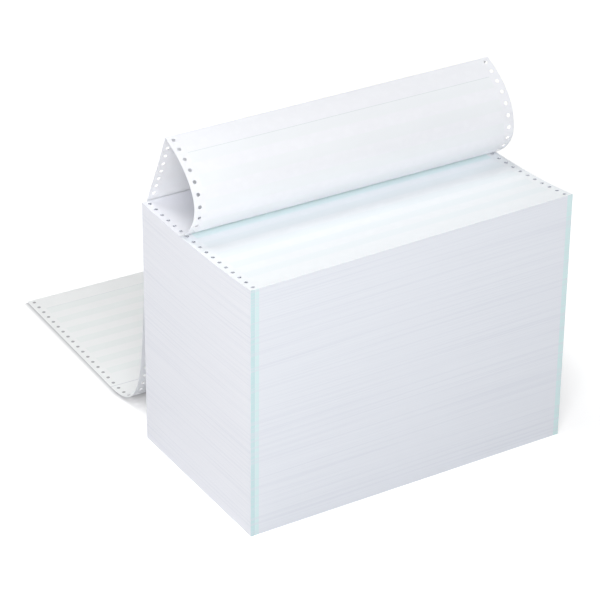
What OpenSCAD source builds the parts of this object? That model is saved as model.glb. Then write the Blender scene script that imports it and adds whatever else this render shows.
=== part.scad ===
// Stack of continuous fan-folded listing paper.
// One long web folds to and fro into a stack. Its top four panels are pulled off:
// the first stands up as an arch over the stack, the second runs from the ridge of the arch
// down over the back edge, the third hangs and sweeps on to the floor, and the fourth lies flat.
// The origin is the centre of the stack's base, X runs along the folds and the web leaves
// towards +Y. All sizes are in millimetres.

/* [Paper] */
// Width of the web, from side edge to side edge
web_w = 377.825; // [240:0.005:420]
// Length of one panel, from crease to crease
panel_l = 215.9; // [200:0.1:240]
// Thickness of one sheet
sheet_t = 0.1; // [0.08:0.01:0.3]

/* [Tractor holes] */
// Diameter of a tractor hole
hole_d = 3.97; // [2.5:0.01:5]
// Distance between neighbouring holes in a row
hole_pitch = 12.7; // [10:0.1:16]
// Distance from a side edge to its row of holes
hole_inset = 6.35; // [5:0.05:10]
// Distance from a crease to the nearest hole
hole_start = 6.35; // [4:0.05:10]

/* [Stack] */
// Height of the stack at the lowest line of its top
stack_h = 276; // [250:1:285]
// Height of one bundle of folds, as seen on the front and the back
bundle_h = 5.75; // [4:0.05:12]
// Depth of the groove between two bundles
groove_d = 0.8; // [0.2:0.1:2]
// Rise of the folds at the front over the middle of the top
rise_front = 6.9; // [0:0.1:12]
// Rise of the folds at the back over the middle of the top
rise_back = 2.7; // [0:0.1:8]

/* [Arch over the stack] */
// Line where the arch leaves the top of the stack, behind the middle
touch_y = 26.5; // [10:0.5:40]
// Reach of the arch to the front of the touch line
bulge_fore = 26; // [10:0.5:30]
// Height of the most forward point over the top of the stack
bulge_up = 37.5; // [25:0.5:50]
// Distance of the ridge behind the touch line
ridge_aft = 29.5; // [28:0.5:46]
// Height of the ridge over the top of the stack
ridge_up = 96; // [80:0.5:105]
// Turn of the pulled web to the right, in degrees
turn = 1.3; // [0:0.1:3]
// Shift of the pulled web to the right
shift = 5.5; // [0:0.5:12]

/* [Hanging panels] */
// Gap between the back edge of the stack and the web that passes over it
edge_gap = 6; // [5:0.1:10]
// Lean of the hanging web away from the stack, in degrees
hang_lean = 8; // [4:0.5:14]
// Reach of the bend above the floor, along the floor
bend_floor = 70; // [40:1:80]
// Reach of the bend above the floor, up the hanging web
bend_up = 116; // [80:1:140]

/* [Hidden] */

stack_d = panel_l;
hole_r = hole_d / 2;
hole_facets = 16;
holes_in_row = floor((panel_l - 2 * hole_start) / hole_pitch + 1.001);
row_steps = [for (i = [0 : holes_in_row - 1]) hole_start + i * hole_pitch];
row_x = web_w / 2 - hole_inset;
bore_spare = 1.2;
root_depth = 0.4;

function mix(a, b, f) = a + (b - a) * f;
function cubic(p, t) =
    pow(1 - t, 3) * p[0] + 3 * pow(1 - t, 2) * t * p[1] + 3 * (1 - t) * t * t * p[2] + t * t * t * p[3];
// Points along a cubic curve, without its first one.
function curve(p, n) = [for (i = [1 : n]) cubic(p, i / n)];

// Distance along a list of points, up to each of them.
function run(points) =
    [for (i = 0, s = 0; i < len(points);
          s = s + (i + 1 < len(points) ? norm(points[i + 1] - points[i]) : 0), i = i + 1) s];
function last(list) = list[len(list) - 1];
function length(points) = last(run(points));

// Height of the top of the stack: a shallow trough between the two rows of folds.
function top_z(y) =
    let (v = 2 * y / stack_d)
    stack_h + (rise_front + rise_back) / 2 * v * v + (rise_back - rise_front) / 2 * v;

// First panel: it lies back to front on the stack, then curls up, bulges forward and
// comes back to the ridge. The arch is scaled so that the panel keeps its full length.
bulge = [-bulge_fore, bulge_up];
ridge = [ridge_aft, ridge_up];
arch_shape = concat(
    [[0, -root_depth]],
    curve([[0, -root_depth], [-bulge_up / 8, 0], bulge - [0, bulge_up / 2], bulge], 12),
    curve([bulge, bulge + [0, bulge_up * 0.58], ridge - [bulge_up, bulge_up * 0.4], ridge], 12));
arch_l = panel_l - (stack_d / 2 - touch_y);
arch = [for (p = arch_shape) [touch_y, top_z(touch_y)] + arch_l / length(arch_shape) * p];

// Second panel: from the ridge down to the back edge of the stack, then hanging to its crease.
edge = [stack_d / 2 + edge_gap, top_z(stack_d / 2)];
hang = [sin(hang_lean), -cos(hang_lean)];
slope_l = norm(edge - last(arch));
hang_l = panel_l - slope_l;
round_l = hang_l / 6;
edge_start = mix(edge, last(arch), round_l / slope_l);
slope = concat(
    [edge_start],
    curve([edge_start, edge, edge, edge + round_l * hang], 6),
    [edge + hang_l * hang]);

// Third panel: it hangs on, bends above the floor and lies down as far as its length allows.
function sweep(crease, reach) =
    let (foot = [crease[0] + reach, sheet_t / 2])
    curve([crease, crease + bend_up * hang, foot - [bend_floor, 0], foot], 24);
function reach_for(crease, low, high, tries) =
    let (reach = (low + high) / 2)
    tries == 0 ? reach
    : length(concat([crease], sweep(crease, reach))) > panel_l ? reach_for(crease, low, reach, tries - 1)
    : reach_for(crease, reach, high, tries - 1);
hanging = sweep(last(slope), reach_for(last(slope), 0, panel_l, 24));

// The pulled web from the touch line to its far edge, and the distance along it.
path = concat(arch, slope, hanging, [last(hanging) + [panel_l, 0]]);
path_s = run(path);
table_y = [for (i = [0 : len(path) - 1]) [path_s[i], path[i][0]]];
table_z = [for (i = [0 : len(path) - 1]) [path_s[i], path[i][1]]];
function path_at(s) = [lookup(s, table_y), lookup(s, table_z)];

// Half the thickness of the sheet at a point of the path, squared off at its corners.
function half_sheet(i) =
    let (before = path[max(i, 1)] - path[max(i, 1) - 1],
         after = path[min(i + 1, len(path) - 1)] - path[min(i + 1, len(path) - 1) - 1],
         a = [-before[1], before[0]] / norm(before),
         b = [-after[1], after[0]] / norm(after))
    sheet_t / 2 * (a + b) / (1 + a * b);

// Extrudes an outline drawn in Y and Z along the folds.
module across_web() {
    rotate([90, 0, 90]) linear_extrude(web_w, center = true) children();
}
// Puts what is drawn in the web's own frame where the pulled web lies.
module on_pulled_web() {
    translate([shift, touch_y, 0]) rotate([0, 0, -turn]) translate([0, -touch_y, 0]) children();
}

// The pulled web as one thin curved sheet.
module pulled_web() {
    steps = len(path);
    on_pulled_web() across_web()
        polygon(concat(
            [for (i = [0 : steps - 1]) path[i] + half_sheet(i)],
            [for (i = [steps - 1 : -1 : 0]) path[i] - half_sheet(i)]));
}

// The folded part of the web as one block, with a groove between each two bundles of folds.
bundles = round(stack_h / bundle_h);
fold_profile = [[0, groove_d], [0.25, 0], [0.75, 0]];
top_steps = 12;
function fold_side(side) =
    let (rise = top_z(side * (stack_d / 2 - groove_d)) / bundles)
    [for (k = [0 : bundles - 1], f = fold_profile) [side * (stack_d / 2 - f[1]), (k + f[0]) * rise]];
module folded_block() {
    front = fold_side(-1);
    back = fold_side(1);
    deep = stack_d / 2 - groove_d;
    across_web()
        polygon(concat(
            front,
            [for (i = [0 : top_steps]) let (y = mix(-deep, deep, i / top_steps)) [y, top_z(y)]],
            [for (i = [len(back) - 1 : -1 : 0]) back[i]]));
}

// Tractor holes down through the stack and the panel that lies on it.
module stack_holes() {
    for (x = [-row_x, row_x], step = row_steps)
        translate([x, stack_d / 2 - step, -bore_spare])
            cylinder(h = top_z(stack_d / 2 - step) + 2 * bore_spare, r = hole_r, $fn = hole_facets);
}

// Two tractor holes, square to the web at a distance along it.
module web_hole_pair(s) {
    along = path_at(s + 0.5) - path_at(s - 0.5);
    place = path_at(s);
    for (x = [-row_x, row_x])
        translate([x, place[0], place[1]])
            rotate([atan2(along[1], along[0]), 0, 0])
                cylinder(h = 2 * bore_spare, r = hole_r, center = true, $fn = hole_facets);
}

// Tractor holes along the four pulled panels. The first panel's are counted from the ridge.
module web_holes() {
    on_pulled_web()
        for (step = row_steps) {
            if (arch_l - step > bore_spare)
                web_hole_pair(arch_l - step);
            for (panel = [0 : 2])
                web_hole_pair(arch_l + panel * panel_l + step);
        }
}

// The whole web: folded block and pulled panels are one piece of paper.
module fanfold_paper() {
    color([0.93, 0.96, 0.96])
        difference() {
            union() {
                folded_block();
                pulled_web();
            }
            stack_holes();
            web_holes();
        }
}

fanfold_paper();
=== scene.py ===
"""Looks of a stack of continuous fan-folded listing paper with pale green bars.

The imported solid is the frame. Two pieces stand for it: the folded stack, and the web that is
pulled off its top. Both are drawn flat and then laid where the frame has them. Lengths are in
metres, X runs along the folds, and the web leaves the stack towards +Y.
"""

import math
import random

import bmesh
import bpy
from mathutils import Matrix, Vector, noise


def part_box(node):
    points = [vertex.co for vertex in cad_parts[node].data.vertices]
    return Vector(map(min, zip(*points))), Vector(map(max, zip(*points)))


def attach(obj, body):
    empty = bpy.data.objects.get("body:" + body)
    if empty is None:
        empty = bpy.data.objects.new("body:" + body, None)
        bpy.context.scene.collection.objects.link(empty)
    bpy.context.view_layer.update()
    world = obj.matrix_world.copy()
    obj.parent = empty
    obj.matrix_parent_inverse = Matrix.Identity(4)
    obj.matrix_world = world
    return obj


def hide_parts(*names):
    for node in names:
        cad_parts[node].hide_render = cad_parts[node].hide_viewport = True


MM = 0.001

# Paper
PANEL = 215.9 * MM
SHEET = 0.1 * MM

# Tractor holes
HOLE_R = 1.985 * MM
HOLE_PITCH = 12.7 * MM
HOLE_INSET = 6.35 * MM
HOLES_IN_ROW = 17
HOLE_SIDES = 20

# Print on each panel, measured from its head
HEADER = 25.4 * MM
HEADER_LINE_W = 0.5 * MM
HEADER_LINE_SOFT = 0.15 * MM
HEADER_LINE_INK = 0.8
BAR = 12.7 * MM
BARS = 7
BAR_SOFT = 1.6 * MM
PRINT_MARGIN = 12.7 * MM

# The print bar beside the arch is drawn stronger and reaches forward past the print: painted shade
# under the arch's overhang. Where that shade starts behind the middle, and its soft edge
ARCH_SHADE_Y = 17.5 * MM
ARCH_SHADE_SOFT = 4 * MM

# Share of the print that shows through on the back of a panel
SHOW_THROUGH_WEB = 0.22
SHOW_THROUGH_STACK = 0.15

# Stack: heights over its middle
STACK_H = 276 * MM
RISE_FRONT_LEFT = 4.3 * MM
RISE_FRONT_RIGHT = 9.3 * MM
RISE_BACK = 2.7 * MM
BUNDLE_MIN = 1.4 * MM
BUNDLE_MAX = 4.6 * MM

# Walls of the stack: how far the sheets stay inside the frame's box, the groove between two
# bundles, and how unevenly the bundles lie on one another
FOLD_INSET = 0.35 * MM
FOLD_GROOVE = 0.22 * MM
FOLD_RIPPLE = 0.22 * MM
FOLD_JOG = 0.12 * MM
CUT_INSET = 0.3 * MM
CUT_GROOVE = 0.12 * MM
CUT_RIPPLE = 0.12 * MM
CUT_JOG = 0.10 * MM
RIPPLES = 9

# Pulled web: the line behind the middle where it leaves the stack's top, how deep its root lies
# in that top, and the length of the round over the stack's back edge, to each side of it
TOUCH = 32 * MM
ROOT_DEPTH = 0.3 * MM
EDGE_ROUND = 14 * MM

# Waviness of the free web: it sets in past the touch line and dies out towards each crease
WAVE = 0.5 * MM
WAVES_ACROSS = 7
WAVES_ALONG = 9
WAVE_IN = (20 * MM, 70 * MM)
CREASE_CALM = 20 * MM
FLOOR_CALM = 0.85
FLOOR_CALM_IN = 30 * MM

# Camera, as the photograph was taken
CAMERA_AIM = Vector((0.01249, 0.10291, 0.130))
CAMERA_AZIMUTH = -31.99
CAMERA_ELEVATION = 28.99
CAMERA_ROLL = 0.69
CAMERA_DISTANCE = 2.92484
CAMERA_LENS = 165.08
CAMERA_SHIFT = (-0.0219, -0.0256)

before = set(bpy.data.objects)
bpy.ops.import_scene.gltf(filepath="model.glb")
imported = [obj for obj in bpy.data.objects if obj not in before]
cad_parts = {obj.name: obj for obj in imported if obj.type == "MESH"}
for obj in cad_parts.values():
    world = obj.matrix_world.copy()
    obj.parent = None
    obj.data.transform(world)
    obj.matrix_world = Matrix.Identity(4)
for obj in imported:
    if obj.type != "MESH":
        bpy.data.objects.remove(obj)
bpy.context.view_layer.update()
node_low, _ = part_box("fanfold_paper")

FRONT = node_low[1]
BACK = -FRONT
LEFT = node_low[0]
WEB = -2 * LEFT
ARCH = PANEL - (BACK - TOUCH)


def mix(a, b, f):
    return a + (b - a) * f


def clamp(value, low=0.0, high=1.0):
    return max(low, min(high, value))


def smooth_step(value, start, end):
    f = clamp((value - start) / (end - start))
    return f * f * (3 - 2 * f)


def top_height(x, y):
    """Height of the stack's top: a shallow trough between the two rows of folds."""
    v = y / BACK
    front = mix(RISE_FRONT_LEFT, RISE_FRONT_RIGHT, x / WEB + 0.5)
    return STACK_H + (front + RISE_BACK) / 2 * v * v + (RISE_BACK - front) / 2 * v


# Path of the pulled web


def cubic(points, t):
    a, b, c, d = points
    return (1 - t) ** 3 * a + 3 * (1 - t) ** 2 * t * b + 3 * (1 - t) * t * t * c + t**3 * d


def curve(points, steps):
    """Points along a cubic curve, without its first one."""
    return [cubic(points, i / steps) for i in range(1, steps + 1)]


def straight(start, end, steps):
    """Points along a straight line, without its first one."""
    return [start.lerp(end, i / steps) for i in range(1, steps + 1)]


def path_length(points):
    return sum((b - a).length for a, b in zip(points, points[1:]))


def mm(y, z):
    return Vector((y * MM, z * MM))


class WebEnd:
    """One side edge of the pulled web, as a path in Y and Z from the stack's top to its far end.

    lift is the Y at which this edge leaves the stack's top; curl, the first handle of its curve,
    bulge and ridge are measured from there; into_ridge is how far before the ridge the last
    handle lies; edge is where the web passes over the stack's back edge; lean is the hanging web's
    lean away from the stack; bend is how far the bend above the floor reaches up the hanging web
    and along the floor.
    """

    ARCH_STEPS = 28
    SLOPE_STEPS = 24
    ROUND_STEPS = 8
    BEND_STEPS = 60
    FLOOR_STEPS = 30
    HALVINGS = 30
    SAG = Vector((-1.2 * MM, -0.8 * MM))

    def __init__(self, x, lift, curl, bulge, ridge, into_ridge, edge, lean, bend):
        start = Vector((lift, top_height(x, lift)))
        rise = bulge.y
        below = bulge - Vector((0, rise * 0.5))
        above = bulge + Vector((0, rise * 0.58))
        shape = [Vector((0, -ROOT_DEPTH))]
        shape += curve([shape[0], curl, below, bulge], self.ARCH_STEPS)
        shape += curve([bulge, above, ridge - into_ridge, ridge], self.ARCH_STEPS)
        lying = [Vector((TOUCH, top_height(x, TOUCH) - ROOT_DEPTH))] if TOUCH > lift else []
        scale = (ARCH - (TOUCH - lift)) / path_length(shape)
        arch = lying + [start + p * scale for p in shape]

        hang = Vector((math.sin(lean), -math.cos(lean)))
        slope_length = (edge - arch[-1]).length
        hang_length = PANEL - slope_length
        round_start = edge.lerp(arch[-1], EDGE_ROUND / slope_length)
        high_sag = arch[-1].lerp(round_start, 0.33) + self.SAG
        low_sag = arch[-1].lerp(round_start, 0.66) + self.SAG
        slope = curve([arch[-1], high_sag, low_sag, round_start], self.SLOPE_STEPS)
        slope += curve([round_start, edge, edge, edge + hang * EDGE_ROUND], self.ROUND_STEPS)
        crease = edge + hang * hang_length
        slope += straight(slope[-1], crease, self.SLOPE_STEPS)

        up_web, along_floor = bend
        low, high = 0.0, PANEL
        for _ in range(self.HALVINGS):
            reach = (low + high) / 2
            foot = Vector((crease.x + reach, SHEET / 2))
            handles = [crease + hang * up_web, foot - Vector((along_floor, 0))]
            sweep = curve([crease, *handles, foot], self.BEND_STEPS)
            if path_length([crease] + sweep) > PANEL:
                high = reach
            else:
                low = reach
        end = sweep[-1] + Vector((PANEL, 0))
        floor_part = straight(sweep[-1], end, self.FLOOR_STEPS)

        self.points = arch + slope + sweep + floor_part
        self.s = [0.0]
        for a, b in zip(self.points, self.points[1:]):
            self.s.append(self.s[-1] + (b - a).length)

    def at(self, s):
        """Place at a distance along this edge."""
        if s <= 0:
            return self.points[0] + (self.points[1] - self.points[0]) * (s / self.s[1])
        low, high = 0, len(self.s) - 1
        while high - low > 1:
            middle = (low + high) // 2
            if self.s[middle] <= s:
                low = middle
            else:
                high = middle
        f = (s - self.s[low]) / (self.s[high] - self.s[low])
        return self.points[low].lerp(self.points[high], f)


left_end = WebEnd(
    x=-WEB / 2, lift=TOUCH, curl=mm(-9, 0.3), bulge=mm(-31, 39.6), ridge=mm(27.7, 93.5),
    into_ridge=mm(32.2, 10.8), edge=mm(110, 279.2), lean=math.radians(8), bend=(122 * MM, 72 * MM))
right_end = WebEnd(
    x=WEB / 2, lift=30.2 * MM, curl=mm(-7, 0.3), bulge=mm(-31, 37), ridge=mm(22.1, 98.2),
    into_ridge=mm(42.6, 17.5), edge=mm(110, 278.6), lean=math.radians(7.5), bend=(116 * MM, 70 * MM))

# Distances along the web of its ridge, its two creases beyond that, and its far edge
WEB_S = [ARCH + k * PANEL for k in range(4)]
WEB_LENGTH = WEB_S[3]

# How far the web has drifted to the right, at distances along it
DRIFT = ((0.0, 0.0), (0.137, 0.0020), (0.237, 0.0070), (0.569, 0.0161), (0.785, 0.0224))


def drift(s):
    for (s0, d0), (s1, d1) in zip(DRIFT, DRIFT[1:]):
        if s <= s1:
            return mix(d0, d1, clamp((s - s0) / (s1 - s0)))
    return DRIFT[-1][1]


def lay_on_web(x, s, off):
    """Place in space of a point of the flat web: x across, s along, off from its mid face."""
    share = x / WEB + 0.5
    step = 0.4 * MM
    before = left_end.at(s - step).lerp(right_end.at(s - step), share)
    after = left_end.at(s + step).lerp(right_end.at(s + step), share)
    here = left_end.at(s).lerp(right_end.at(s), share)
    along = (after - before).normalized()
    normal = Vector((-along.y, along.x))
    wave = WAVE * smooth_step(s, *WAVE_IN)
    wave *= noise.noise(Vector((x * WAVES_ACROSS, s * WAVES_ALONG, 3.0)))
    wave *= 1 - FLOOR_CALM * smooth_step(s, WEB_S[2] - FLOOR_CALM_IN, WEB_S[2])
    crease_gap = min(abs(s - c) for c in WEB_S)
    wave *= smooth_step(crease_gap, 0.0, CREASE_CALM)
    if s > WEB_S[2] - CREASE_CALM:
        wave = abs(wave)
    here = here + normal * (off + wave)
    return Vector((x + drift(s), here.x, here.y))


# Making the pieces


def add_object(name, bm, materials):
    mesh = bpy.data.meshes.new(name)
    bm.to_mesh(mesh)
    bm.free()
    for material in materials:
        mesh.materials.append(material)
    piece = bpy.data.objects.new(name, mesh)
    bpy.context.scene.collection.objects.link(piece)
    return piece


def cut_holes(bm, centres, depth):
    """Cuts round holes along Z through the mesh, each at a centre, and gives back a new bmesh."""
    cutter = bmesh.new()
    for x, y in centres:
        bmesh.ops.create_cone(
            cutter, cap_ends=True, segments=HOLE_SIDES, radius1=HOLE_R, radius2=HOLE_R, depth=depth,
            matrix=Matrix.Translation((x, y, 0)))
    blank = add_object("blank", bm, [])
    tool = add_object("hole_cutter", cutter, [])
    cut = blank.modifiers.new("holes", "BOOLEAN")
    cut.operation = "DIFFERENCE"
    cut.solver = "EXACT"
    cut.object = tool
    ready = blank.evaluated_get(bpy.context.evaluated_depsgraph_get())
    result = bmesh.new()
    result.from_mesh(ready.data)
    for spare in (blank, tool):
        mesh = spare.data
        bpy.data.objects.remove(spare)
        bpy.data.meshes.remove(mesh)
    return result


def slab(width, length, depth, centre):
    bm = bmesh.new()
    size = Matrix.Diagonal((width, length, depth, 1))
    bmesh.ops.create_cube(bm, size=1, matrix=Matrix.Translation(centre) @ size)
    return bm


def cut_across(bm, axis, places):
    """Cuts the mesh square to an axis at each of the places."""
    normal = Vector([1.0 if i == axis else 0.0 for i in range(3)])
    for place in places:
        geometry = bm.verts[:] + bm.edges[:] + bm.faces[:]
        bmesh.ops.bisect_plane(bm, geom=geometry, plane_co=normal * place, plane_no=normal)


def spaced(start, end, step):
    """Evenly spaced places between start and end, about a step apart, without the two ends."""
    count = max(1, round((end - start) / step))
    return [start + (end - start) * i / count for i in range(1, count)]


def soften(bm, limit):
    """Smooth shading everywhere but over edges sharper than the limit, in degrees."""
    for face in bm.faces:
        face.smooth = True
    for edge in bm.edges:
        if len(edge.link_faces) == 2:
            edge.smooth = edge.calc_face_angle() < math.radians(limit)


def hole_rows():
    return [HOLE_PITCH / 2 + i * HOLE_PITCH for i in range(HOLES_IN_ROW)]


def hole_columns():
    return (-WEB / 2 + HOLE_INSET, WEB / 2 - HOLE_INSET)


def web_bends():
    """Distances along the web where the flat sheet may bend, closer where its path is tighter."""
    ridge, hanging_crease, floor_crease, far_edge = WEB_S
    stretches = (
        (0, 2.6 * MM), (ridge, 6 * MM), (ridge + 95 * MM, 1.5 * MM), (ridge + 125 * MM, 6 * MM),
        (hanging_crease, 4 * MM), (floor_crease, 8 * MM), (far_edge, None))
    bends = []
    for (start, step), (end, _) in zip(stretches, stretches[1:]):
        bends += [start] + spaced(start, end, step)
    return bends[1:]


def make_web(printed, blank, cut_edge):
    """The pulled web: a flat sheet with its holes, bent along its path."""
    bm = slab(WEB, WEB_LENGTH, SHEET, (0, WEB_LENGTH / 2, 0))
    centres = []
    for x in hole_columns():
        for step in hole_rows():
            if WEB_S[0] - step > 2 * HOLE_R:
                centres.append((x, WEB_S[0] - step))
            centres += [(x, WEB_S[k] + step) for k in range(3)]
    bm = cut_holes(bm, centres, 4 * SHEET)
    cut_across(bm, 1, web_bends())
    cut_across(bm, 0, spaced(-WEB / 2, WEB / 2, 12 * MM))
    flat = bm.loops.layers.uv.new("Flat")
    bm.normal_update()
    for face in bm.faces:
        up = face.normal.z
        face.material_index = 0 if up > 0.5 else 1 if up < -0.5 else 2
        for loop in face.loops:
            loop[flat].uv = loop.vert.co.xy
    for vert in bm.verts:
        x, s, off = vert.co
        vert.co = lay_on_web(x, s, off)
    bm.normal_update()
    soften(bm, 24)
    return add_object("pulled_web", bm, [printed, blank, cut_edge])


def bundle_levels(rng):
    """Shares of the stack's height at which one bundle of folds ends and the next starts."""
    levels = [0.0]
    while levels[-1] < 1:
        levels.append(levels[-1] + rng.uniform(BUNDLE_MIN, BUNDLE_MAX) / STACK_H)
    return [level / levels[-1] for level in levels]


# Two coordinates closer than this are on the same wall or level
SAME = 1e-6


def on_wall(place, half):
    return abs(abs(place) - half) < SAME


def on_outside(face):
    """True for a face that lies in one of the four walls of the stack."""
    return all(on_wall(v.co.x, WEB / 2) for v in face.verts) or all(
        on_wall(v.co.y, BACK) for v in face.verts)


def stack_blank(levels):
    """The stack as an upright box of height 1, with its holes, its walls cut at each level."""
    bm = slab(WEB, 2 * BACK, 1, (0, 0, 0.5))
    bm = cut_holes(bm, [(x, BACK - step) for x in hole_columns() for step in hole_rows()], 4)
    cut_across(bm, 0, spaced(-WEB / 2, WEB / 2, 14 * MM))
    cut_across(bm, 1, spaced(-BACK, BACK, 12 * MM))
    for face in bm.faces:
        face.tag = on_outside(face)
    bmesh.ops.split(bm, geom=[f for f in bm.faces if not f.tag])
    for level in levels:
        walls = [f for f in bm.faces if f.tag]
        edges = {e for f in walls for e in f.edges}
        verts = {v for f in walls for v in f.verts}
        bmesh.ops.bisect_plane(
            bm, geom=list(verts) + list(edges) + walls, plane_co=(0, 0, level), plane_no=(0, 0, 1))
    bmesh.ops.remove_doubles(bm, verts=bm.verts[:], dist=0.1 * SAME)
    return bm


def mark_stack_faces(bm):
    """Gives each face its paper, and the walls a flat map of metres across and shares up."""
    top, fold_edges, cut_edges, hole_walls = range(4)
    layers = bm.loops.layers.uv.new("Layers")
    bm.normal_update()
    for face in bm.faces:
        faces_y = abs(face.normal.y) > 0.5
        if abs(face.normal.z) > 0.5:
            face.material_index = top
        elif not on_outside(face):
            face.material_index = hole_walls
        else:
            face.material_index = fold_edges if faces_y else cut_edges
        for loop in face.loops:
            place = loop.vert.co
            loop[layers].uv = (place.x if faces_y else place.y, place.z)


def settle_bundles(bm, bundles):
    """Raises the box to the height of the stack, with a groove, a jog and a ripple per bundle."""
    index = 0
    for vert in sorted(bm.verts, key=lambda v: v.co.z):
        x, y, level = vert.co
        while index < len(bundles) - 1 and level > bundles[index][1] - 0.1 * SAME:
            index += 1
        low, high, jog_x, jog_y, seed = bundles[index]
        full = smooth_step(min(level - low, high - level) / (high - low), 0.0, 0.2)
        if level <= 0.1 * SAME or level >= 1 - 0.1 * SAME:
            full = 0.5
        place = Vector((x, y, level * top_height(x, y)))
        if on_wall(y, BACK):
            ripple = FOLD_RIPPLE * noise.noise(Vector((x * RIPPLES, seed, 1.0)))
            wall = BACK - FOLD_GROOVE * (1 - full) - FOLD_INSET + jog_y + ripple
            place.y = math.copysign(wall, y)
        if on_wall(x, WEB / 2):
            ripple = CUT_RIPPLE * noise.noise(Vector((y * RIPPLES, seed, 5.0)))
            wall = WEB / 2 - CUT_INSET - CUT_GROOVE * (1 - full)
            place.x = math.copysign(wall, x) + jog_x + ripple
        vert.co = place


def make_stack(top, fold_edges, cut_edges, hole_walls):
    """The folded part of the web: bundles of folds under a shallow trough."""
    rng = random.Random(17)
    levels = bundle_levels(rng)
    bundles = []
    for low, high in zip(levels, levels[1:]):
        jog_x = rng.gauss(0, CUT_JOG)
        jog_y = rng.gauss(0, FOLD_JOG)
        bundles.append((low, high, jog_x, jog_y, rng.uniform(0, 50)))
    cuts = []
    for low, high, *_ in bundles:
        cuts += [low, mix(low, high, 0.22), mix(low, high, 0.78)]
    bm = stack_blank(cuts[1:])
    mark_stack_faces(bm)
    settle_bundles(bm, bundles)
    bm.normal_update()
    soften(bm, 35)
    return add_object("folded_stack", bm, [top, fold_edges, cut_edges, hole_walls])


# Shader maths


class Socket:
    """A shader socket that takes part in Python expressions."""

    def __init__(self, tree, link):
        self.tree = tree
        self.link = link

    def math(self, operation, *others):
        node = self.tree.nodes.new("ShaderNodeMath")
        node.operation = operation
        for slot, value in zip(node.inputs, (self, *others)):
            if isinstance(value, Socket):
                self.tree.links.new(value.link, slot)
            else:
                slot.default_value = value
        return Socket(self.tree, node.outputs[0])

    def __add__(self, other):
        return self.math("ADD", other)

    __radd__ = __add__

    def __mul__(self, other):
        return self.math("MULTIPLY", other)

    __rmul__ = __mul__

    def __sub__(self, other):
        return self.math("SUBTRACT", other)

    def __rsub__(self, other):
        return self * -1 + other

    def __truediv__(self, other):
        return self.math("DIVIDE", other)

    def __gt__(self, other):
        return self.math("GREATER_THAN", other)

    def __lt__(self, other):
        return self.math("LESS_THAN", other)

    def __abs__(self):
        return self.math("ABSOLUTE")

    def __mod__(self, other):
        return self.math("FLOORED_MODULO", other)

    def both(self, other):
        """The smaller of the two."""
        return self.math("MINIMUM", other)

    def either(self, other):
        """The larger of the two."""
        return self.math("MAXIMUM", other)

    def band(self, low, high, soft):
        """1 between low and high, 0 outside, over a soft edge."""
        rising = ((self - (low - soft / 2)) / soft).either(0).both(1)
        falling = (((high + soft / 2) - self) / soft).either(0).both(1)
        return rising * falling


# How far light goes into a single sheet
LIGHT_DEPTH = 0.3 * MM


class Finish:
    """A material under construction, with one method for every other node."""

    def __init__(self, name, roughness, specular=0.25, see_through=0.0):
        self.material = bpy.data.materials.new(name)
        self.material.use_nodes = True
        self.tree = self.material.node_tree
        self.shader = self.tree.nodes["Principled BSDF"]
        self.shader.inputs["Roughness"].default_value = roughness
        self.shader.inputs["Specular IOR Level"].default_value = specular
        self.shader.inputs["Subsurface Weight"].default_value = see_through
        self.shader.inputs["Subsurface Radius"].default_value = (1.0, 1.0, 1.0)
        self.shader.inputs["Subsurface Scale"].default_value = LIGHT_DEPTH

    def node(self, kind, settings=None, output=0, **values):
        made = self.tree.nodes.new(kind)
        for name, value in (settings or {}).items():
            setattr(made, name, value)
        for name, value in values.items():
            slot = made.inputs[name.replace("_", " ")]
            if isinstance(value, Socket):
                self.tree.links.new(value.link, slot)
            else:
                slot.default_value = value
        return Socket(self.tree, made.outputs[output])

    def blend(self, factor, first, second):
        made = self.tree.nodes.new("ShaderNodeMix")
        made.data_type = "RGBA"
        slots = (made.inputs[0], made.inputs[6], made.inputs[7])
        for slot, value in zip(slots, (factor, first, second)):
            if isinstance(value, Socket):
                self.tree.links.new(value.link, slot)
            else:
                slot.default_value = value
        return Socket(self.tree, made.outputs[2])

    def parts(self, vector):
        made = self.tree.nodes.new("ShaderNodeSeparateXYZ")
        self.tree.links.new(vector.link, made.inputs[0])
        return [Socket(self.tree, out) for out in made.outputs]

    def feed(self, name, socket):
        self.tree.links.new(socket.link, self.shader.inputs[name])


def srgb(r, g, b):
    """A colour given as it looks on screen, 0 to 255, in the renderer's linear values."""
    def linear(c):
        c /= 255
        return c / 12.92 if c <= 0.04045 else ((c + 0.055) / 1.055) ** 2.4
    return (linear(r), linear(g), linear(b), 1.0)


PAPER = srgb(244, 246, 254)
PAPER_SHADE = srgb(242, 244, 252)
# Painted light: a lighter, warmer copy of the paper for the panel lying on the floor
PAPER_LIT_ON_FLOOR = srgb(250, 253, 252)
PAPER_TOP = srgb(245, 248, 250)
PAPER_TOP_SHADE = srgb(243, 246, 248)
BAR_GREEN = srgb(240, 244, 250)
# Painted light: the bars on that lighter copy for the floor panel
BAR_LIT_ON_FLOOR = srgb(243, 249, 247)
BAR_TOP = srgb(240, 245, 247)
# Painted shade: the print bar as it looks in the shade under the arch
BAR_IN_ARCH_SHADE = srgb(233, 246, 246)
LINE_GREEN = srgb(206, 218, 220)
BLANK = srgb(240, 241, 246)
# Painted shade: the fold walls' paper is drawn darker than the top and the cut walls
FOLD_WALL_SHADED = srgb(230, 233, 239)
FOLD_LINE = srgb(222, 225, 233)
EDGE_WHITE = srgb(239, 240, 245)
EDGE_LINE = srgb(229, 231, 238)
# Painted shade in the crease where the web meets the floor
FOLD_SHADE = srgb(208, 211, 216)
# Painted shade: the sheet edges down the holes, darkened for the shade in them
HOLE_WALL_SHADE = srgb(168, 172, 184)
MARK_DARK = srgb(198, 226, 228)
MARK_LIGHT = srgb(212, 236, 236)


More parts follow.
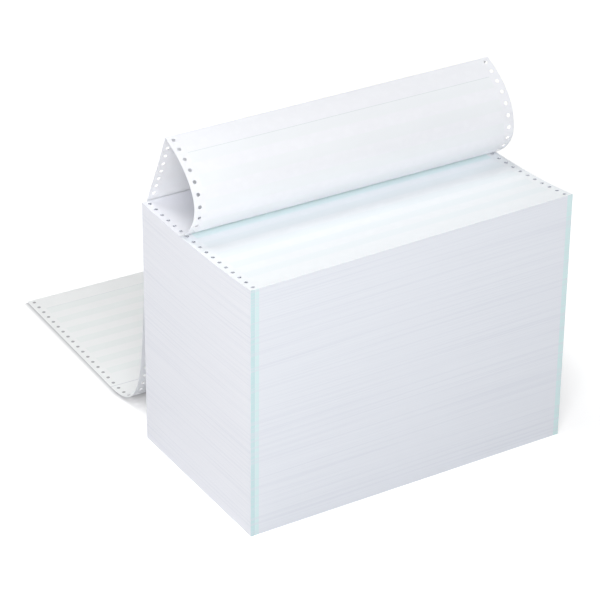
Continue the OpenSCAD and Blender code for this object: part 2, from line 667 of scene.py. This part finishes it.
def paper_tooth(finish, place, strength=0.12):
    """Fine tooth of uncoated paper, as bump, and a faint cloudiness as a factor."""
    tooth = finish.node("ShaderNodeTexNoise", Vector=place, Scale=2600.0, Detail=3.0)
    normal = finish.node("ShaderNodeBump", Height=tooth, Strength=strength, Distance=0.00004)
    finish.feed("Normal", normal)
    return finish.node("ShaderNodeTexNoise", Vector=place, Scale=90.0, Detail=4.0)


def print_colour(finish, across, head, ground, bar):
    """Bars and the line under the header, over a ground colour.

    across is measured from the middle of the web, head from the head of the panel.
    """
    inside = abs(across) < WEB / 2 - PRINT_MARGIN
    step = (head - HEADER) % (2 * BAR)
    printed_length = (2 * BARS - 1) * BAR
    bars = step.band(0, BAR, BAR_SOFT) * head.band(HEADER, HEADER + printed_length, BAR_SOFT)
    line = head.band(HEADER - HEADER_LINE_W, HEADER, HEADER_LINE_SOFT)
    colour = finish.blend(bars * inside, ground, bar)
    return finish.blend(line * inside * HEADER_LINE_INK, colour, LINE_GREEN)


def floor_crease_shade(along):
    """1 on the crease between the hanging panel and the one on the floor, where a thin dark line of
    painted shade is drawn.
    """
    return along.band(WEB_S[2] - 0.35 * MM, WEB_S[2] + 0.35 * MM, 0.4 * MM)


def printed_web_paper():
    finish = Finish("printed_paper_web", roughness=0.78, see_through=0.6)
    flat = finish.node("ShaderNodeUVMap", {"uv_map": "Flat"})
    across, along, _ = finish.parts(flat)
    head = (WEB_S[3] - along) % PANEL
    cloud = paper_tooth(finish, flat)
    ground = finish.blend(cloud.band(0.45, 0.65, 0.2), PAPER, PAPER_SHADE)
    # Painted light: from the bend on, the panel on the floor gets the lighter copy of paper and bars
    lying = along.band(WEB_S[2] - 60 * MM, 2 * WEB_LENGTH, 100 * MM)
    ground = finish.blend(lying, ground, PAPER_LIT_ON_FLOOR)
    bar = finish.blend(lying, BAR_GREEN, BAR_LIT_ON_FLOOR)
    printed = print_colour(finish, across, head, ground, bar)
    # Painted shade: a thin dark line along the crease at the floor
    finish.feed("Base Color", finish.blend(floor_crease_shade(along), printed, FOLD_SHADE))
    return finish.material


def blank_web_paper():
    finish = Finish("blank_paper_web", roughness=0.82, see_through=0.6)
    flat = finish.node("ShaderNodeUVMap", {"uv_map": "Flat"})
    across, along, _ = finish.parts(flat)
    head = (WEB_S[3] - along) % PANEL
    paper_tooth(finish, flat)
    shown = print_colour(finish, across, head, BLANK, BAR_GREEN)
    finish.feed("Base Color", finish.blend(SHOW_THROUGH_WEB, BLANK, shown))
    return finish.material


def stack_top_paper():
    finish = Finish("paper_stack_top", roughness=0.78)
    place = finish.node("ShaderNodeTexCoord", output=3)
    across, depth, _ = finish.parts(place)
    cloud = paper_tooth(finish, place)
    ground = finish.blend(cloud.band(0.45, 0.65, 0.2), PAPER_TOP, PAPER_TOP_SHADE)
    printed = print_colour(finish, across, BACK - depth, ground, BAR_TOP)
    inside = abs(across) < WEB / 2 - PRINT_MARGIN
    # Painted shade: the bar at the arch is drawn darker and greener and reaches forward, for the
    # shade under the arch
    bar_and_arch_shade = depth.band(ARCH_SHADE_Y, BACK, ARCH_SHADE_SOFT) * inside
    printed = finish.blend(bar_and_arch_shade, printed, BAR_IN_ARCH_SHADE)
    shown = print_colour(finish, across, BACK + depth, BLANK, BAR_GREEN)
    blank = finish.blend(SHOW_THROUGH_STACK, BLANK, shown)
    finish.feed("Base Color", finish.blend(depth > TOUCH, printed, blank))
    return finish.material


def layer_lines(finish, fine, coarse):
    """Lines of sheet edges along the walls of the stack, as a factor and as bump."""
    layers = finish.node("ShaderNodeUVMap", {"uv_map": "Layers"})
    along, level, _ = finish.parts(layers)
    thin_place = finish.node("ShaderNodeCombineXYZ", X=along * 5, Y=level * fine, Z=0.0)
    wide_place = finish.node("ShaderNodeCombineXYZ", X=along * 2, Y=level * coarse, Z=4.0)
    thin = finish.node("ShaderNodeTexNoise", Vector=thin_place, Scale=1.0, Detail=2.0)
    wide = finish.node("ShaderNodeTexNoise", Vector=wide_place, Scale=1.0, Detail=1.0)
    normal = finish.node("ShaderNodeBump", Height=thin, Strength=0.35, Distance=0.0002)
    finish.feed("Normal", normal)
    return along, thin.band(0.56, 0.9, 0.12) * 0.6 + wide.band(0.58, 0.9, 0.1) * 0.4


def fold_edge_paper():
    """Folds at the front and back, with the ends of the green bars at the corners."""
    finish = Finish("paper_fold_edges", roughness=0.8)
    along, lines = layer_lines(finish, 640.0, 90.0)
    left = -WEB / 2
    # Painted shade: the fold walls are drawn in a darker copy of the paper
    colour = finish.blend(lines, FOLD_WALL_SHADED, FOLD_LINE)
    mark_far = (along - left).band(0.0, 4.8 * MM, 0.2 * MM)
    mark_near = (along - left).band(5.2 * MM, 9.6 * MM, 0.4 * MM)
    mark_right = (along + left).band(-6.5 * MM, 0.0, 0.4 * MM)
    dark_mark = finish.blend(lines, MARK_DARK, FOLD_LINE)
    light_mark = finish.blend(lines, MARK_LIGHT, FOLD_LINE)
    colour = finish.blend(mark_far, colour, dark_mark)
    colour = finish.blend(mark_near.either(mark_right), colour, light_mark)
    finish.feed("Base Color", colour)
    return finish.material


def cut_edge_paper():
    finish = Finish("paper_cut_edges", roughness=0.85)
    along, lines = layer_lines(finish, 700.0, 110.0)
    finish.feed("Base Color", finish.blend(lines, EDGE_WHITE, EDGE_LINE))
    return finish.material


def speckled_paper(name, roughness, ground):
    """Sheet edges down the tractor holes, where the ground given is a painted shade, and along the
    rim of the pulled web.
    """
    finish = Finish(name, roughness)
    place = finish.node("ShaderNodeTexCoord", output=3)
    speck = finish.node("ShaderNodeTexNoise", Vector=place, Scale=900.0, Detail=1.0)
    finish.feed("Base Color", finish.blend(speck.band(0.5, 0.9, 0.1), ground, EDGE_LINE))
    return finish.material


# Floor, light and camera


FLOOR_TONE = (0.62, 0.62, 0.63, 1)
FLOOR_WHITE = (1.0, 1.0, 1.0, 1)
# Painted shadow: the floor's colour under the lying web
FLOOR_SHADOW = (0.42, 0.42, 0.43, 1)
FLOOR_GLOW = (0.35, 0.35, 0.35, 1)
BLACK = (0.0, 0.0, 0.0, 1)

# Distance from the stack beyond which the floor is plain white, and half the floor's width
WHITE_FROM = 2.0
FLOOR_HALF = 5.0

# Painted shadow on the ground under the lying web, so that its holes show dark, with a soft contact
# shadow past its left
# edge and under the bend: how far that shadow reaches past the web's left edge, before the crease,
# and how far it stays short of the far edge
SHADOW_LEFT = 6.6 * MM
SHADOW_BEFORE = 45 * MM
SHADOW_SHORT = 2 * MM
SHADOW_SOFT_ACROSS = 14 * MM
SHADOW_SOFT_ALONG = 60 * MM

# Lamps: name, power in watts, diameter and place
LAMPS = (
    ("top_light", 27, 1.4, (-0.7, 0.95, 2.8)),
    ("front_light", 53, 1.8, (-1.4, -2.1, 1.4)),
    ("high_light", 5, 1.8, (-1.0, -1.3, 2.5)),
    ("side_light", 3, 1.6, (-2.6, 0.1, 0.9)),
    ("rear_light", 8, 1.6, (-1.6, 2.2, 1.6)),
)
LAMP_AIM = Vector((0.0, 0.1, 0.2))
ROOM_TINT = (0.98, 0.99, 1.0, 1)
ROOM_STRENGTH = 0.325


def seen_directly(tree):
    """1 for what the camera sees, also as a reflection or through a piece, 0 for light on pieces."""
    rays = tree.nodes.new("ShaderNodeLightPath")
    seen = Socket(tree, rays.outputs["Is Camera Ray"])
    seen = seen.either(Socket(tree, rays.outputs["Is Glossy Ray"]))
    return seen.either(Socket(tree, rays.outputs["Is Transmission Ray"]))


def make_floor():
    bm = bmesh.new()
    bmesh.ops.create_grid(bm, x_segments=8, y_segments=8, size=FLOOR_HALF)
    finish = Finish("plain_floor", roughness=0.9, specular=0.0)
    seen = seen_directly(finish.tree)
    place = finish.node("ShaderNodeTexCoord", output=3)
    across, depth, _ = finish.parts(place)
    crease = left_end.at(WEB_S[2]).x
    far_left = left_end.at(WEB_LENGTH).x
    far_right = right_end.at(WEB_LENGTH).x
    drift_rate = (drift(WEB_LENGTH) - drift(WEB_S[2])) / PANEL
    middle = drift(WEB_S[2]) + (depth - crease) * drift_rate
    # Painted shadow: under and just past the lying web the floor is darker and does not glow
    painted_shadow = (across - middle).band(-WEB / 2 - SHADOW_LEFT, WEB / 2, SHADOW_SOFT_ACROSS)
    painted_shadow = painted_shadow * depth.band(crease - SHADOW_BEFORE, WEB_LENGTH, SHADOW_SOFT_ALONG)
    far_slant = (far_right - far_left) / WEB
    far_edge = (across + WEB / 2) * far_slant + (far_left - SHADOW_SHORT)
    painted_shadow = painted_shadow * painted_shadow * (far_edge - depth > 0)
    white = finish.blend(painted_shadow, FLOOR_WHITE, FLOOR_SHADOW)
    away = ((across * across + depth * depth) * (1 / WHITE_FROM**2)).both(1)
    glow = finish.blend(painted_shadow, finish.blend(away * away, FLOOR_GLOW, FLOOR_WHITE), BLACK)
    finish.feed("Base Color", finish.blend(seen, FLOOR_TONE, white))
    finish.shader.inputs["Emission Strength"].default_value = 1.0
    finish.feed("Emission Color", finish.blend(seen, BLACK, glow))
    floor = add_object("floor", bm, [finish.material])


def make_lamp(name, power, size, place):
    light = bpy.data.lights.new(name, "AREA")
    light.energy = power
    light.shape = "DISK"
    light.size = size
    lamp = bpy.data.objects.new(name, light)
    lamp.location = place
    lamp.rotation_euler = (LAMP_AIM - Vector(place)).to_track_quat("-Z", "Y").to_euler()
    bpy.context.scene.collection.objects.link(lamp)


def make_lights():
    world = bpy.data.worlds.new("soft_room")
    world.use_nodes = True
    tree = world.node_tree
    room_light = tree.nodes["Background"]
    room_light.inputs["Color"].default_value = ROOM_TINT
    room_light.inputs["Strength"].default_value = ROOM_STRENGTH
    white = tree.nodes.new("ShaderNodeBackground")
    white.inputs["Color"].default_value = FLOOR_WHITE
    either = tree.nodes.new("ShaderNodeMixShader")
    tree.links.new(seen_directly(tree).link, either.inputs[0])
    tree.links.new(room_light.outputs[0], either.inputs[1])
    tree.links.new(white.outputs[0], either.inputs[2])
    tree.links.new(either.outputs[0], tree.nodes["World Output"].inputs["Surface"])
    bpy.context.scene.world = world
    for lamp in LAMPS:
        make_lamp(*lamp)


def make_camera():
    azimuth = math.radians(CAMERA_AZIMUTH)
    elevation = math.radians(CAMERA_ELEVATION)
    roll = math.radians(CAMERA_ROLL)
    back = Vector((math.sin(azimuth) * math.cos(elevation),
                   -math.cos(azimuth) * math.cos(elevation), math.sin(elevation)))
    right = Vector((0, 0, 1)).cross(back).normalized()
    up = back.cross(right)
    turned_right = math.cos(roll) * right + math.sin(roll) * up
    turned_up = math.cos(roll) * up - math.sin(roll) * right
    data = bpy.data.cameras.new("camera")
    data.lens = CAMERA_LENS
    data.sensor_width = 36
    data.sensor_fit = "HORIZONTAL"
    data.shift_x, data.shift_y = CAMERA_SHIFT
    data.clip_end = 50
    camera = bpy.data.objects.new("camera", data)
    axes = Matrix((turned_right, turned_up, back)).transposed().to_4x4()
    camera.matrix_world = Matrix.Translation(CAMERA_AIM + back * CAMERA_DISTANCE) @ axes
    bpy.context.scene.collection.objects.link(camera)
    bpy.context.scene.camera = camera


web = make_web(
    printed_web_paper(), blank_web_paper(), speckled_paper("paper_sheet_edge", 0.85, EDGE_WHITE))
stack = make_stack(
    stack_top_paper(), fold_edge_paper(), cut_edge_paper(),
    # Painted shade down the holes of the stack
    speckled_paper("paper_hole_walls_shaded", 0.9, HOLE_WALL_SHADE))
for piece in (web, stack):
    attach(piece, "root")
    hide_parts("fanfold_paper")

make_floor()
make_lights()
make_camera()
bpy.context.scene.view_settings.view_transform = "Standard"
